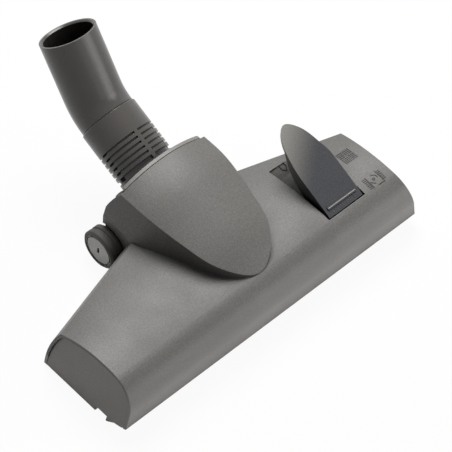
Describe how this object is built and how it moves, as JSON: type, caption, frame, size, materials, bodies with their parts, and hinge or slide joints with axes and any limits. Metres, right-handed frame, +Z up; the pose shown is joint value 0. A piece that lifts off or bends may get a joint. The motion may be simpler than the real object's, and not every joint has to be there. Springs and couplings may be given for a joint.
{
  "type": "vacuum floor brush head",
  "caption": "Vacuum floor head with moulded hood, tilting swivel neck, bent tube, rollers and a foot pedal that lowers bristles.",
  "frame": {"origin": "on the floor plane, on the underside of the steel sole, in the middle of the head's length", "axes": "+X along the head towards the pedal, +Y from the front wall towards the neck, +Z up from the floor"},
  "size_m": [0.2654, 0.2229, 0.1222],
  "materials": {
    "textured_shell": "fine spark-eroded grain",
    "base_plastic": "smooth satin",
    "neck_plastic": "semi-gloss",
    "pedal_plastic": "fine grain",
    "inner_plastic": "plain",
    "steel": "rolled",
    "tyre_rubber": "soft",
    "pile": "short pile",
    "bristle": "cut nylon bristles"
  },
  "bodies": {
    "housing": {"top_housing": "textured_shell", "base_housing": "base_plastic", "suction_duct": "inner_plastic", "joint_housing": "textured_shell", "sole_plate": "steel", "rear_thread_lifter": "pile", "pedal_pin": "steel", "upper_drum_seal": "tyre_rubber", "lower_drum_seal": "tyre_rubber", "left_axle": "steel", "right_axle": "steel", "housing_screws": "steel"},
    "neck": {"swivel_elbow": "inner_plastic", "ribbed_collar": "neck_plastic", "swivel_seal": "tyre_rubber"},
    "outlet": {"bent_tube": "neck_plastic", "retaining_ring": "inner_plastic"},
    "left_roller": {"left_wheel": "inner_plastic", "left_tyre": "tyre_rubber"},
    "right_roller": {"right_wheel": "inner_plastic", "right_tyre": "tyre_rubber"},
    "foot_pedal": {"pedal": "pedal_plastic"},
    "brushes": {"brush_frame": "inner_plastic", "front_bristles": "bristle", "rear_bristles": "bristle"}
  },
  "joints": [
    {"name": "neck_tilt", "type": "hinge", "parent": "housing", "child": "neck", "pos_m": [0, 0.05, 0.033], "axis": [1, 0, 0], "range_deg": [-25, 0]},
    {"name": "tube_swivel", "type": "hinge", "parent": "neck", "child": "outlet", "pos_m": [0, 0.1169, 0.06209], "axis": [0, 0.9171, 0.3987], "continuous": true},
    {"name": "left_wheel_spin", "type": "hinge", "parent": "housing", "child": "left_roller", "pos_m": [-0.04825, 0.0654, 0.0145], "axis": [1, 0, 0], "continuous": true},
    {"name": "right_wheel_spin", "type": "hinge", "parent": "housing", "child": "right_roller", "pos_m": [0.04825, 0.0654, 0.0145], "axis": [1, 0, 0], "continuous": true},
    {"name": "pedal_tilt", "type": "hinge", "parent": "housing", "child": "foot_pedal", "pos_m": [0.08025, -0.021, 0.035], "axis": [1, 0, 0], "range_deg": [-22, 0]},
    {"name": "brush_drop", "type": "slide", "parent": "housing", "child": "brushes", "axis": [0, 0, -1], "range_m": [0, 0.0044]}
  ],
  "couplings": [
    {"joint": "brush_drop", "follows": "pedal_tilt", "m_per_rad": -0.0114}
  ]
}
